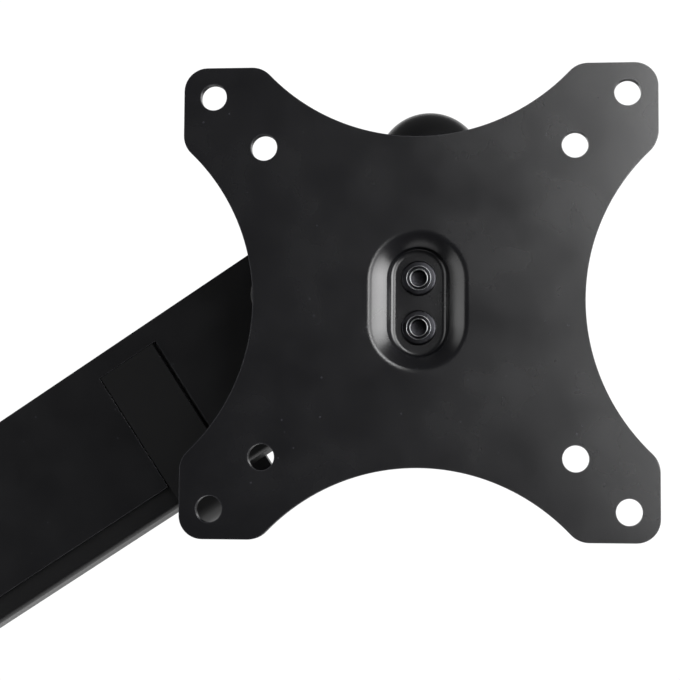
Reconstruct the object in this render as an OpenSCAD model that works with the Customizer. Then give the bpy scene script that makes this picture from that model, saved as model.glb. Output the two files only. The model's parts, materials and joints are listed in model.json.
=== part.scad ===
// Gas-spring monitor arm with a desk clamp: two links, a levelled head and a VESA plate.
// The origin is on the desk top under the post's axis, +Z is up, and the plate faces -Y.

/* [Reach] */
// Distance from the post's axis to the elbow's axis
lower_len = 230; // [200:5:280]
// Distance between the pivots at the two ends of the lifting link
upper_len = 225; // [200:5:260]
// Slope of the lifting link above the horizontal
lift_rest = 33; // [0:1:45]
// Angle in plan by which the lifting link leans towards the plate's side
arm_turn = 4; // [0:0.5:8]
// Angle by which the plate leans back
plate_lean = 7; // [0:1:10]

/* [Lifting link] */
// Outside width of the link's shell
arm_w = 42; // [40:1:50]
// Height of the shell above its pivots
shell_up = 13; // [12:0.5:15]
// Height of the shell below its pivots
shell_down = 26.7; // [26:0.1:30]
// Height of the cable cover that shows under the shell
cover_h = 6.2; // [6:0.1:9]
// Thickness of the shell's wall
wall = 2.5; // [2.2:0.1:3]
// Width of a cable clip along the link
clip_w = 17.5; // [14:0.1:18]

/* [Plate] */
// Side of the square monitor plate
plate_side = 114.5; // [112:0.5:120]
// Thickness of the plate's sheet steel
plate_t = 2.5; // [2:0.1:3]
// Diameter of the monitor screw holes
hole_d = 6.4; // [5:0.1:7]
// Radius of the four hollow sides
side_r = 50.2; // [46:0.1:56]
// Distance from the plate's centre to the bottom of a hollow side
waist = 39.9; // [38:0.1:44]
// Depth of the pressed recess in the middle
recess_depth = 5; // [4:0.1:5.5]

/* [Clamp] */
// Width of the foot on the desk
foot_w = 96; // [80:1:120]
// Depth of the foot on the desk
foot_d = 84; // [76:1:100]
// Thickness of desk between the foot and the clamp's pad
desk_gap = 30; // [12:1:60]

/* [Hidden] */
$fn = 64;

eps = 0.01;
fit_gap = 0.1;        // gap between a pin and its hole

// heights above the desk top
pad_t = 1.6;
foot_t = 8;
boss_top = 20;
hub_low = 72;
hub_high = 108;
hub_mid = (hub_low + hub_high) / 2;
knuckle_low = 109.5;
knuckle_high = 152.3;
lift_z = 143.3;       // rear main pivot
pivot_gap = 18;       // from a main pivot down to the link pivot below it

// plan distances
rear_reach = 32;      // elbow axis to rear pivots
front_reach = 38;     // front pivots to head swivel axis
head_reach = 60;      // head swivel axis to the plate's front face
head_drop = 4.2;      // tilt axis below the front main pivot
front_x = rear_reach + upper_len * cos(lift_rest) + front_reach;
head_z = lift_z + upper_len * sin(lift_rest) - head_drop;
head_pos = [front_x * cos(arm_turn), -lower_len - front_x * sin(arm_turn), head_z];

// lifting link
cheek = 14;           // half width of both knuckles
link_in = 14.3;       // lower link's inner half width
link_out = 16.3;
pin_r = 3.5;
recess = 1.2;         // depth of the clip's seat in the shell
clip_at = 171.9;      // front clip's near edge, along the link
rear_clip_at = 40;
cover_in = 1.4;       // how far the cover's side sits inside the shell's side
cover_edge = 1.6;     // rounding of the cover's lower corners
cover_wall = 1.3;
shell_in = arm_w / 2 - wall;
cover_out = arm_w / 2 - cover_in;

// gas spring, from the rear link pivot
anchor_x = 158;       // tension carriage's cross bar, along the link
bar_r = 5;
spring_low = [-pivot_gap * sin(lift_rest), 0, -pivot_gap * cos(lift_rest)];
spring_len = norm([anchor_x, 0, 0] - spring_low);
spring_tilt = atan2(-spring_low[2], anchor_x - spring_low[0]);
saddle_x = spring_len - bar_r - 1.5;

// head, measured from the swivel axis (y) and the tilt axis (z)
barrel_r = 14;
barrel_bore = 7;
barrel_low = -8;
barrel_high = 37.6;
web_back = -15;
sheet = 3;
tilt_y = -33;
ear_half = 18.5;
bracket_half = 15;
plate_front = -head_reach;
floor_back = plate_front + recess_depth + plate_t;
rivet_z = 6;
hub_t = 3.5;

// ---------- shared shapes ----------

module at_elbow() translate([0, -lower_len, 0]) rotate([0, 0, -arm_turn]) children();

module at_lift()
    at_elbow() translate([rear_reach, 0, lift_z]) rotate([0, -lift_rest, 0]) children();

module at_spring()
    at_lift() translate(spring_low) rotate([0, -spring_tilt, 0]) children();

module at_front() at_elbow() translate([front_x, 0, head_z]) children();

module at_head() translate(head_pos) children();

// parts that lean with the plate, drawn as if it stood upright
module at_tilt() at_head()
    translate([0, tilt_y, 0]) rotate([-plate_lean, 0, 0]) translate([0, -tilt_y, 0]) children();

module ring(r_out, r_in, h) {
    difference() {
        cylinder(r = r_out, h = h);
        translate([0, 0, -1]) cylinder(r = r_in, h = h + 2);
    }
}

module round_rect(w, d, r) {
    square([w - 2 * r, d], center = true);
    square([w, d - 2 * r], center = true);
    for (x = [-1, 1], y = [-1, 1]) translate([x * (w / 2 - r), y * (d / 2 - r)]) circle(r);
}

// a cylinder across the link, centred on the link's middle plane
module across(r, w) rotate([90, 0, 0]) cylinder(r = r, h = w, center = true);

// a ring across the link from half width a to half width b, on both sides
module across_rings(r_out, r_in, a, b)
    for (side = [-1, 1]) translate([0, side > 0 ? b : -a, 0]) rotate([90, 0, 0])
        ring(r_out, r_in, b - a);

// a cylinder along +Y that starts at y
module along_y(r, y, h) translate([0, y, 0]) rotate([-90, 0, 0]) cylinder(r = r, h = h);

// a hexagon prism along +Z, measured across its flats
module hexagon(flats, h) cylinder(r = flats / 2 / cos(30), h = h, $fn = 6);

// a socket head screw along +Z, its head's top at z = 0
module socket_screw(thread_r, head_r, head_h, length) {
    difference() {
        translate([0, 0, -head_h]) cylinder(r = head_r, h = head_h);
        translate([0, 0, -head_h * 0.6]) hexagon(thread_r * 1.6, head_h);
    }
    translate([0, 0, -head_h - length]) cylinder(r = thread_r, h = length + eps);
}

module flanged_bush(r_out, r_in, r_flange, h, flange) {
    difference() {
        union() {
            cylinder(r = r_flange, h = flange);
            cylinder(r = r_out, h = h);
        }
        translate([0, 0, -1]) cylinder(r = r_in, h = h + 2);
    }
}

function arc_points(c, r, from, to, steps) =
    [for (i = [0 : steps]) let (t = from + (to - from) * i / steps) c + r * [cos(t), sin(t)]];

// ---------- desk clamp and post ----------

post_r = 17;
stem_r = 12;
upright_t = 5;
jaw_low = -95;
screw_r = 5;
nut_r = 11;
bolt_x = 22;
bolt_tap_r = 2.5;     // tapped holes for the clamp's and the hubs' screws
bolt_deep = 14;
boss_wide = 30;
boss_narrow = 25;
post_head_r = 9;      // post bolt's head
post_head_h = 4.8;
screw_deep = 30;      // threaded depth in the post
end_screw_r = 2.9;    // screws that hold the retaining washers
retainer_r = 15.5;
retainer_t = 2;
jaw_half = 35;
tongue_half = 23;     // the lower jaw narrows to this under the desk
tongue_reach = 24;

module foot_outline() round_rect(foot_w, foot_d, 12);

module foot_pad() color("#1a1a1b") linear_extrude(pad_t) foot_outline();

module foot_plate() color("#1c1c1e") difference() {
    union() {
        translate([0, 0, pad_t]) linear_extrude(foot_t) foot_outline();
        translate([0, 0, pad_t + foot_t - eps])
            cylinder(r1 = boss_wide, r2 = boss_narrow, h = boss_top - pad_t - foot_t + eps);
    }
    cylinder(r = screw_r + fit_gap, h = 2 * boss_top);
    translate([0, 0, pad_t - 1]) cylinder(r = post_head_r + fit_gap, h = post_head_h + 1.7);
    for (x = [-1, 1]) translate([x * bolt_x, foot_d / 2 - bolt_deep, pad_t + foot_t / 2])
        rotate([-90, 0, 0]) cylinder(r = bolt_tap_r, h = bolt_deep + 6);
}

module post() color("#1c1c1e") difference() {
    union() {
        translate([0, 0, boss_top]) cylinder(r = post_r, h = hub_low - 2 - boss_top);
        translate([0, 0, boss_top]) cylinder(r = stem_r, h = hub_high - 0.5 - boss_top);
    }
    translate([0, 0, boss_top - 1]) cylinder(r = screw_r, h = screw_deep + 1);
    translate([0, 0, hub_high - 20]) cylinder(r = end_screw_r + fit_gap, h = 30);
}

module post_bolt() color("#8f9296") translate([0, 0, pad_t + 0.5]) difference() {
    union() {
        cylinder(r = post_head_r, h = post_head_h);
        cylinder(r = screw_r - fit_gap, h = boss_top + 28 - pad_t);
    }
    translate([0, 0, -1]) hexagon(6, 4);
}

module clamp_upright() color("#1c1c1e") {
    y = foot_d / 2;
    difference() {
        union() {
            translate([-jaw_half, y, jaw_low]) cube([2 * jaw_half, upright_t, pad_t + foot_t - jaw_low]);
            translate([0, 0, jaw_low]) linear_extrude(upright_t) {
                translate([-jaw_half, 0]) square([2 * jaw_half, y + eps]);
                translate([-tongue_half, -tongue_reach]) square([2 * tongue_half, tongue_reach + 1]);
                for (side = [-1, 1]) polygon([[side * jaw_half, 0], [side * tongue_half, -tongue_reach],
                    [side * (tongue_half - 1), 0]]);
            }
        }
        translate([0, 0, jaw_low - 1]) cylinder(r = nut_r - 2 + fit_gap, h = 10);
        for (x = [-1, 1], z = [pad_t + foot_t / 2, -20, -45])
            translate([x * bolt_x, y - 1, z]) rotate([-90, 0, 0]) cylinder(r = 2.75, h = 10);
    }
}

module clamp_bolts() color("#2a2a2c")
    for (x = [-1, 1]) translate([x * bolt_x, foot_d / 2 + upright_t + 3, pad_t + foot_t / 2])
        rotate([-90, 0, 0]) socket_screw(2.4, 4.5, 3, 14);

module clamp_nut() color("#8f9296") translate([0, 0, jaw_low]) difference() {
    union() {
        translate([0, 0, -6]) cylinder(r = nut_r, h = 6);
        translate([0, 0, -eps]) cylinder(r = nut_r - 2, h = 12);
    }
    translate([0, 0, -8]) cylinder(r = screw_r, h = 24);
}

pad_top = -desk_gap;
liner_t = 1.6;
clamp_plate_t = 4;
screw_top = pad_top - liner_t - 1;
clamp_r = 25;
screw_len = 98;
screw_head_r = 8;
screw_head_h = 14;
handle_r = 3;
handle_len = 76;
knob_r = 5.5;
knob_len = 10;
handle_z = screw_top - screw_len - screw_head_h / 2;

module clamp_screw() color("#9a9da1") {
    translate([0, 0, screw_top - screw_len]) cylinder(r = screw_r - fit_gap, h = screw_len);
    difference() {
        translate([0, 0, screw_top - screw_len - screw_head_h]) cylinder(r = screw_head_r, h = screw_head_h);
        translate([0, 0, handle_z]) rotate([0, 90, 0])
            cylinder(r = handle_r + fit_gap, h = 30, center = true);
    }
}

module clamp_handle() color("#1a1a1b") translate([0, 0, handle_z]) rotate([0, 90, 0]) {
    cylinder(r = handle_r, h = handle_len, center = true);
    for (side = [-1, 1]) translate([0, 0, side * (handle_len + 4) / 2])
        cylinder(r = knob_r, h = knob_len, center = true);
}

module clamp_plate() color("#1c1c1e") translate([0, 0, pad_top - liner_t]) difference() {
    union() {
        translate([0, 0, -clamp_plate_t]) cylinder(r = clamp_r, h = clamp_plate_t);
        translate([0, 0, -10]) cylinder(r = 9, h = 8);
    }
    translate([0, 0, -12]) cylinder(r = screw_r, h = 11);
}

module clamp_liner() color("#1a1a1b") translate([0, 0, pad_top - liner_t])
    cylinder(r = clamp_r - 1, h = liner_t);

module post_retainer() color("#8f9296") {
    translate([0, 0, hub_high + 0.2]) ring(retainer_r, end_screw_r + 2 * fit_gap, retainer_t);
    translate([0, 0, hub_high + 5.4]) socket_screw(end_screw_r, 5, 3.2, 17);
}

// ---------- lower arm ----------

beam_half = 19;
beam_split = 79;      // height of the line between the beam and its cable cover
hub_r = 22;
bush_r = 14;
beam_wall = 3;
clip_in = 60;         // clips' distance from the hubs' axes

module cover_section(half, low, high, r, t) {
    difference() {
        cover_block(half, low, high, r);
        cover_block(half - t, low + t, high + 1, r - t);
    }
}

// a block in x (across) and y (up) with round lower corners
module cover_block(half, low, high, r) polygon(concat(
    [[half, high], [-half, high]],
    arc_points([-half + r, low + r], r, 180, 270, 6),
    arc_points([half - r, low + r], r, 270, 360, 6)));

module lower_arm_beam() color("#1c1c1e") difference() {
    union() {
        translate([0, 0, hub_low]) cylinder(r = hub_r, h = hub_high - hub_low);
        translate([0, -lower_len, hub_low]) cylinder(r = hub_r, h = hub_high - hub_low);
        translate([-beam_half, -lower_len, beam_split])
            cube([2 * beam_half, lower_len, hub_high - beam_split]);
    }
    translate([-beam_half + beam_wall, -lower_len + hub_r + 2, beam_split - 10])
        cube([2 * (beam_half - beam_wall), lower_len - 2 * hub_r - 4, hub_high - beam_split + 5]);
    for (y = [0, -lower_len]) translate([0, y, hub_low - 1])
        cylinder(r = bush_r, h = hub_high - hub_low + 2);
    translate([0, 0, hub_mid]) rotate([-90, 0, 0]) cylinder(r = bolt_tap_r, h = hub_r + 2);
    translate([0, -lower_len, hub_mid]) rotate([90, 0, 0]) cylinder(r = bolt_tap_r, h = hub_r + 2);
    for (y = [-clip_in, -lower_len + clip_in - clip_w], side = [-1, 1])
        translate([side * (beam_half + 1) - 1 - side * recess, y - 0.1, beam_split - 1])
            cube([2, clip_w + 0.2, 23]);
}

module lower_arm_cover() color("#222224")
    translate([0, -lower_len + hub_r + 0.5, 0]) rotate([90, 0, 0]) mirror([0, 0, 1])
        linear_extrude(lower_len - 2 * hub_r - 1)
            cover_section(beam_half - cover_in, hub_low, beam_split, 5, 1.8);

strap_low = 8.3;      // a clip's strap hangs this far below its cover
strap_t = 1.6;
strap_r = 5.6;
tab_half = 9;
tab_t = 2.5;
tab_in = 7.3;         // the pull tab starts this far along the clip

module clip_band(half, inner, top, low, split, w) {
    // side arms in the seats, a strap under the cover and a pull tab
    for (side = [-1, 1]) translate([side > 0 ? half - recess + 0.05 : -half, 0, split])
        cube([recess - 0.05, w, top - split]);
    translate([0, w, 0]) rotate([90, 0, 0]) linear_extrude(w) difference() {
        cover_block(half, low - strap_low, split + eps, strap_r);
        cover_block(inner + 0.05, low - strap_low + strap_t, split + 1, strap_r - strap_t);
    }
    translate([-tab_half, tab_in, low - strap_low - tab_t]) cube([2 * tab_half, w - 1.5, tab_t + eps]);
}

module lower_arm_clips() color("#232325")
    for (y = [-clip_in, -lower_len + clip_in - clip_w]) translate([0, y, 0])
        clip_band(beam_half, beam_half - cover_in, beam_split + 21.9, hub_low, beam_split, clip_w);

module hub_bushes() {
    translate([0, 0, hub_high + 0.1]) mirror([0, 0, 1])
        flanged_bush(bush_r - 0.05, stem_r + fit_gap, bush_r - 0.05, 14, 0.1);
    translate([0, 0, hub_low - 1.8]) flanged_bush(bush_r - 0.05, stem_r + fit_gap, 16.5, 15, 1.7);
}

module post_bushes() color("#d8d6cf") hub_bushes();

module elbow_bushes() color("#d8d6cf") translate([0, -lower_len, 0]) hub_bushes();

module post_cap() color("#222224") translate([0, 0, hub_high]) difference() {
    rotate_extrude() polygon(concat([[0, 0], [hub_r, 0], [hub_r, 3]],
        arc_points([hub_r - 6, 3], 6, 0, 90, 6), [[0, 10]]));
    translate([0, 0, -1]) cylinder(r = hub_r - 3, h = 7.5);
}

module elbow_bottom_cap() color("#222224") translate([0, -lower_len, hub_low - 9]) difference() {
    rotate_extrude() polygon(concat([[0, 0]], arc_points([hub_r - 6, 5], 5, -90, 0, 6),
        [[hub_r - 1, 9], [0, 9]]));
    translate([0, 0, 2]) cylinder(r = hub_r - 3, h = 10);
}

module hub_set_screws() color("#2a2a2c") {
    translate([0, hub_r - 0.3, hub_mid]) rotate([-90, 0, 0]) set_screw();
    translate([0, -lower_len - hub_r + 0.3, hub_mid]) rotate([90, 0, 0]) set_screw();
}

module set_screw() difference() {
    translate([0, 0, -7]) cylinder(r = bolt_tap_r - 0.05, h = 7);
    translate([0, 0, -2.5]) hexagon(2.5, 4);
}

// ---------- elbow ----------

eye_r = 9;            // round ends of both knuckles at the main pivots
link_eye_r = 6.8;     // and at the link pivots below them
spring_slot = 5.2;    // half width of the slot for the gas spring's eye

module knuckle_bores(r) for (z = [0, -pivot_gap]) translate([0, 0, z]) across(r, 60);

module rear_knuckle() color("#1c1c1e") at_elbow() difference() {
    union() {
        translate([0, 0, knuckle_low]) cylinder(r = post_r, h = knuckle_high - knuckle_low);
        translate([5, -cheek, lift_z - pivot_gap - link_eye_r])
            cube([rear_reach - 5, 2 * cheek, pivot_gap + link_eye_r + eye_r]);
        translate([rear_reach, 0, lift_z]) across(eye_r, 2 * cheek);
        translate([rear_reach, 0, lift_z - pivot_gap]) across(link_eye_r, 2 * cheek);
    }
    translate([0, 0, knuckle_low - 1]) cylinder(r = stem_r, h = 31);
    translate([rear_reach, 0, lift_z]) knuckle_bores(pin_r + fit_gap);
    translate([rear_reach - 7.5, -spring_slot, lift_z - pivot_gap - 8]) cube([20, 2 * spring_slot, 40]);
}

module elbow_stem() color("#8f9296") at_elbow() difference() {
    translate([0, 0, hub_low - 1]) cylinder(r = stem_r, h = knuckle_low + 30 - hub_low + 1);
    translate([0, 0, hub_low - 2]) cylinder(r = 3, h = 20);
}

module elbow_washer() color("#d8d6cf") at_elbow()
    translate([0, 0, hub_high + 0.2]) ring(17, stem_r + fit_gap, knuckle_low - hub_high - 0.3);

module elbow_cap() color("#222224") at_elbow() translate([0, 0, knuckle_high])
    rotate_extrude() polygon(concat([[0, 0], [post_r, 0], [post_r, 1.5]],
        arc_points([post_r - 3, 1.5], 3, 0, 90, 6), [[0, 4.5]]));

module elbow_retainer() color("#8f9296") at_elbow() {
    translate([0, 0, hub_low - 4]) ring(retainer_r, end_screw_r + 2 * fit_gap, retainer_t);
    translate([0, 0, hub_low - 6.8]) mirror([0, 0, 1]) socket_screw(end_screw_r, 5, 2.8, 17);
}

module pivot_pin(half) {
    across(pin_r, 2 * half);
    for (side = [-1, 1]) translate([0, side * (half - 0.4), 0]) across(pin_r + 0.01, 0.8);
}

module rear_pivot_pins() color("#9a9da1") at_elbow() translate([rear_reach, 0, lift_z]) {
    pivot_pin(shell_in + wall - 0.6);
    translate([0, 0, -pivot_gap]) pivot_pin(link_out + 0.4);
}

// ---------- lifting link ----------

module shell_profile() polygon(concat(
    arc_points([0, 0], shell_up, 90, 205, 14),
    [[14, -shell_down], [upper_len - 12, -shell_down]],
    arc_points([upper_len, 0], shell_up, -25, 90, 14)));

module side_plate(half) translate([0, half, 0]) rotate([90, 0, 0]) linear_extrude(2 * half) children();

module clip_seat(x) for (side = [-1, 1])
    translate([x - 0.1, side * (arm_w / 2 + 1) - 1 - side * recess, -shell_down - 1])
        cube([clip_w + 0.2, 2, shell_down + 1 + shell_up - 5.3]);

module upper_arm_shell() color("#1c1c1e") at_lift() difference() {
    side_plate(arm_w / 2) shell_profile();
    translate([-20, -shell_in, -shell_down - 1])
        cube([upper_len + 40, 2 * shell_in, shell_down + 1 + shell_up - wall]);
    for (x = [-20, upper_len - 6]) translate([x, -shell_in, 0]) cube([26, 2 * shell_in, 20]);
    clip_seat(clip_at);
    clip_seat(rear_clip_at);
    for (x = [0, upper_len]) translate([x, 0, 0]) across(pin_r + fit_gap, 60);
}

module upper_arm_cover() color("#222224") at_lift() {
    translate([26, 0, 0]) rotate([90, 0, 90]) linear_extrude(upper_len - 40)
        cover_section(cover_out, -shell_down - cover_h, -shell_down, cover_edge, cover_wall);
    for (side = [-1, 1]) translate([30, side > 0 ? shell_in - 1.1 : 0.1 - shell_in, -shell_down - 1])
        cube([upper_len - 48, 1, 4]);
}

module link_clip(x) at_lift() translate([x, 0, 0]) rotate([0, 0, 90]) mirror([0, 1, 0])
    clip_band(arm_w / 2, cover_out, shell_up - 5.4, -shell_down - cover_h, -shell_down, clip_w);

module front_cable_clip() color("#232325") link_clip(clip_at);

module rear_cable_clip() color("#232325") link_clip(rear_clip_at);

module shell_bushes() color("#d8d6cf") at_lift()
    for (x = [0, upper_len]) translate([x, 0, 0])
        across_rings(6, pin_r + fit_gap, cheek + fit_gap, shell_in - fit_gap);

module pivot_caps() color("#222224") at_lift()
    for (x = [0, upper_len], side = [-1, 1]) translate([x, side * (arm_w / 2 + 0.75), 0]) across(7, 1.5);

// ---------- tension adjuster ----------

bracket_x = 196;
bracket_t = 4;
carriage_x = anchor_x + 18;
carriage_half = 13.5;
tension_r = 3.9;      // tension screw's thread
head_t = 5.5;         // and the depth of its head

module tension_bracket() color("#9a9da1") at_lift() difference() {
    translate([bracket_x, -shell_in + 0.1, -6.5])
        cube([bracket_t, 2 * shell_in - 0.2, 6.5 + shell_up - wall - 0.1]);
    translate([bracket_x - 1, 0, 0]) rotate([0, 90, 0]) cylinder(r = tension_r + 0.3, h = 2 * bracket_t);
}

module tension_screw() color("#9a9da1") at_lift()
    translate([bracket_x + bracket_t + 0.1, 0, 0]) rotate([0, 90, 0]) difference() {
        reach = bracket_x + bracket_t - carriage_x - 0.9;
        union() {
            cylinder(r = 6, h = head_t);
            translate([0, 0, -reach]) cylinder(r = tension_r, h = reach + 0.1);
        }
        translate([0, 0, 2.5]) hexagon(5, 4);
    }

module tension_carriage() color("#9a9da1") at_lift() difference() {
    union() {
        translate([anchor_x, 0, 0]) across(bar_r, 2 * carriage_half - 1);
        for (side = [-1, 1])
            translate([anchor_x - 4, side > 0 ? carriage_half - sheet : -carriage_half, -7])
                cube([carriage_x + 10 - anchor_x, sheet, 14]);
        translate([carriage_x, -carriage_half, -7]) cube([6, 2 * carriage_half, 14]);
    }
    translate([carriage_x - 1, 0, 0]) rotate([0, 90, 0]) cylinder(r = tension_r + fit_gap, h = 12);
}

// ---------- lower link and gas spring ----------

module link_side() polygon(concat(
    arc_points([0, 0], 5, 90, 210, 8), [[16, -9], [upper_len - 16, -9]],
    arc_points([upper_len, 0], 5, -30, 90, 8)));

module lower_link() color("#202022") at_lift() translate(spring_low) difference() {
    side_plate(link_out) link_side();
    translate([-20, -link_in, -6.9]) cube([upper_len + 40, 2 * link_in, 30]);
    for (x = [-20, upper_len - 15]) translate([x, -link_in, -20]) cube([35, 2 * link_in, 30]);
    for (x = [0, upper_len]) translate([x, 0, 0]) across(pin_r + fit_gap, 60);
}

rod_end = 100;
rod_r = 4;
rod_thread_r = 3;
thread_x = 8;         // where the rod's thread starts in the eye
rod_x = 16;
piston_r = 7.4;

module gas_spring_eye() color("#3a3a3c") at_spring() difference() {
    union() {
        across(6, 2 * (spring_slot - 0.4));
        translate([4, 0, 0]) rotate([0, 90, 0]) cylinder(r = rod_r + 0.5, h = rod_x - 4);
    }
    across(pin_r + fit_gap, 20);
    translate([thread_x, 0, 0]) rotate([0, 90, 0]) cylinder(r = rod_thread_r, h = 12);
}

module gas_spring_rod() color("#c9ccd0") at_spring() {
    translate([thread_x, 0, 0]) rotate([0, 90, 0]) cylinder(r = rod_thread_r, h = rod_x - thread_x + eps);
    translate([rod_x, 0, 0]) rotate([0, 90, 0]) cylinder(r = rod_r, h = rod_end - rod_x);
    translate([rod_end - eps, 0, 0]) rotate([0, 90, 0]) cylinder(r = piston_r, h = 6);
}

tube_low = 58;
tube_high = 150;
tube_r = 9;
tube_bore = 7.6;

module gas_spring_cylinder() color("#161617") at_spring() translate([tube_low, 0, 0]) rotate([0, 90, 0])
    difference() {
        cylinder(r = tube_r, h = tube_high - tube_low);
        translate([0, 0, -1]) cylinder(r = tube_bore, h = tube_high - tube_low - 2);
    }

module gas_spring_gland() color("#9a9da1") at_spring() translate([tube_low, 0, 0]) rotate([0, 90, 0])
    ring(tube_bore - 0.05, rod_r + fit_gap, 6);

module gas_spring_saddle() color("#3a3a3c") at_spring() {
    translate([tube_high, 0, 0]) rotate([0, 90, 0]) cylinder(r = 5, h = saddle_x - tube_high - 2);
    translate([saddle_x - 2 - eps, -8, -9]) cube([2 + eps, 16, 18]);
}

// ---------- front knuckle ----------

neck_x = 27;          // where the neck meets the pivot block
neck_half = 8;

module front_knuckle() color("#1c1c1e") at_front() difference() {
    union() {
        translate([0, 0, barrel_low]) cylinder(r = barrel_r, h = barrel_high - barrel_low);
        translate([-front_reach, -cheek, head_drop - pivot_gap - link_eye_r])
            cube([front_reach - neck_x, 2 * cheek, pivot_gap + link_eye_r + eye_r]);
        translate([-neck_x - 1, -neck_half, barrel_low + 1]) cube([neck_x - 3, 2 * neck_half, 22]);
        translate([-front_reach, 0, head_drop]) across(eye_r, 2 * cheek);
        translate([-front_reach, 0, head_drop - pivot_gap]) across(link_eye_r, 2 * cheek);
    }
    translate([0, 0, barrel_low - 1]) cylinder(r = barrel_bore, h = barrel_high - barrel_low + 2);
    translate([-front_reach, 0, head_drop]) knuckle_bores(pin_r + fit_gap);
}

module front_pivot_pins() color("#9a9da1") at_front() translate([-front_reach, 0, head_drop]) {
    pivot_pin(shell_in + wall - 0.6);
    translate([0, 0, -pivot_gap]) pivot_pin(link_out + 0.4);
}

swivel_r = 5;
bush_edge = 11;       // radius of the swivel bushes' flanges
ear_low = barrel_low - 1 - sheet;
ear_high = barrel_high + 1;
yoke_half = 14.5;
tilt_r = 4;           // tilt bolt
tilt_ear = 10;        // round ends of the yoke's ears
washer_r = 10;

module swivel_bushes() color("#d8d6cf") at_front() {
    translate([0, 0, barrel_low - 0.9])
        flanged_bush(barrel_bore - 0.05, swivel_r + fit_gap, bush_edge, 14, 0.8);
    translate([0, 0, barrel_high + 0.9]) mirror([0, 0, 1])
        flanged_bush(barrel_bore - 0.05, swivel_r + fit_gap, bush_edge, 14, 0.8);
}

// ---------- head ----------

module head_yoke() color("#1c1c1e") at_head() difference() {
    union() {
        for (z = [ear_low, ear_high]) translate([0, 0, z]) linear_extrude(sheet) {
            circle(yoke_half);
            translate([-yoke_half, web_back - sheet]) square([2 * yoke_half, sheet - web_back]);
        }
        translate([-yoke_half, web_back - sheet, ear_low])
            cube([2 * yoke_half, sheet, ear_high + sheet - ear_low]);
        translate([-ear_half, web_back - sheet, ear_low]) cube([2 * ear_half, sheet, 24.5]);
        for (side = [-1, 1]) {
            translate([side > 0 ? ear_half - sheet : -ear_half, tilt_y, -tilt_ear])
                cube([sheet, -tilt_y + web_back - 1, 2 * tilt_ear]);
            translate([side * (ear_half - sheet / 2), tilt_y, 0]) rotate([0, 90, 0])
                cylinder(r = tilt_ear, h = sheet, center = true);
        }
    }
    translate([0, 0, ear_low - 1]) cylinder(r = swivel_r + fit_gap, h = ear_high - ear_low + sheet + 2);
    translate([0, tilt_y, 0]) rotate([0, 90, 0]) cylinder(r = tilt_r + fit_gap, h = 60, center = true);
}

module swivel_bolt() color("#9a9da1") at_head() {
    translate([0, 0, ear_low - 9]) cylinder(r = swivel_r, h = ear_high + sheet + 1.2 - ear_low + 9);
    translate([0, 0, ear_high + sheet + 1.1]) hexagon(15, 4.5);
}

module swivel_washers() color("#9a9da1") at_head() {
    translate([0, 0, ear_high + sheet]) ring(washer_r, swivel_r + fit_gap, 1.1);
    translate([0, 0, ear_low - 1.5]) ring(washer_r, swivel_r + fit_gap, 1.5);
}

module swivel_nut() color("#8f9296") at_head() translate([0, 0, ear_low - 8]) difference() {
    hexagon(16, 6.5);
    translate([0, 0, -1]) cylinder(r = swivel_r + 0.02, h = 10);
}

cap_r = 14.4;
cap_drop = 3.4;       // centre of the dome below its rim
cap_wall = 1.6;
cap_low = ear_high + sheet;

module swivel_cap() color("#222224") at_head() translate([0, 0, cap_low]) rotate_extrude() polygon(concat(
    arc_points([0, -cap_drop], cap_r, 13.8, 90, 16),
    arc_points([0, -cap_drop], cap_r - cap_wall, 90, 16.5, 12)));

module tilt_bolt() color("#9a9da1") at_head() translate([0, tilt_y, 0]) rotate([0, 90, 0]) {
    translate([0, 0, -ear_half - 5]) difference() {
        cylinder(r = 7, h = 5);
        translate([0, 0, -1]) hexagon(5, 4);
    }
    translate([0, 0, -ear_half - eps]) cylinder(r = tilt_r, h = 2 * ear_half + 7);
}

module tilt_nut() color("#8f9296") at_head() translate([ear_half, tilt_y, 0]) rotate([0, 90, 0])
    difference() {
        hexagon(13, 6);
        translate([0, 0, -1]) cylinder(r = tilt_r + 0.02, h = 10);
    }

module tilt_washers() color("#d8d6cf") at_head() for (side = [-1, 1])
    translate([side * (bracket_half + ear_half - sheet) / 2, tilt_y, 0]) rotate([0, 90, 0])
        translate([0, 0, -0.2]) ring(tilt_ear - 1, tilt_r + fit_gap, 0.4);

module tilt_spacer() color("#9a9da1") at_tilt() translate([-bracket_half + sheet + 0.05, tilt_y, 0])
    rotate([0, 90, 0]) ring(5.4, tilt_r + fit_gap, 2 * (bracket_half - sheet) - 0.1);

washer_t = 1.2;       // between the hub and the tilt bracket
front_wall = floor_back + hub_t + washer_t;

module tilt_bracket() color("#1c1c1e") at_tilt() difference() {
    union() {
        translate([-bracket_half, front_wall, -17]) cube([2 * bracket_half, sheet, 34]);
        for (side = [-1, 1]) {
            translate([side > 0 ? bracket_half - sheet : -bracket_half, front_wall + 1, -9])
                cube([sheet, tilt_y - front_wall - 1, 18]);
            translate([side * (bracket_half - sheet / 2), tilt_y, 0]) rotate([0, 90, 0])
                cylinder(r = tilt_ear - 1, h = sheet, center = true);
        }
    }
    along_y(swivel_r + fit_gap, front_wall - 1, 6);
    translate([0, tilt_y, 0]) rotate([0, 90, 0]) cylinder(r = tilt_r + fit_gap, h = 60, center = true);
}

module rotation_spring_washer() color("#9a9da1") at_tilt() translate([0, front_wall + sheet, 0])
    rotate([-90, 0, 0]) ring(9, swivel_r + fit_gap, 0.8);

module rotation_nut() color("#8f9296") at_tilt() translate([0, front_wall + sheet + 0.8, 0])
    rotate([-90, 0, 0]) difference() {
        hexagon(16, 4.3);
        translate([0, 0, -1]) cylinder(r = swivel_r + 0.02, h = 8);
    }

// ---------- plate ----------

rivet_r = 2.8;        // rivets' holes in the plate and the hub
rivet_sink_r = 4.3;
rivet_sink = 1.5;

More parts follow.
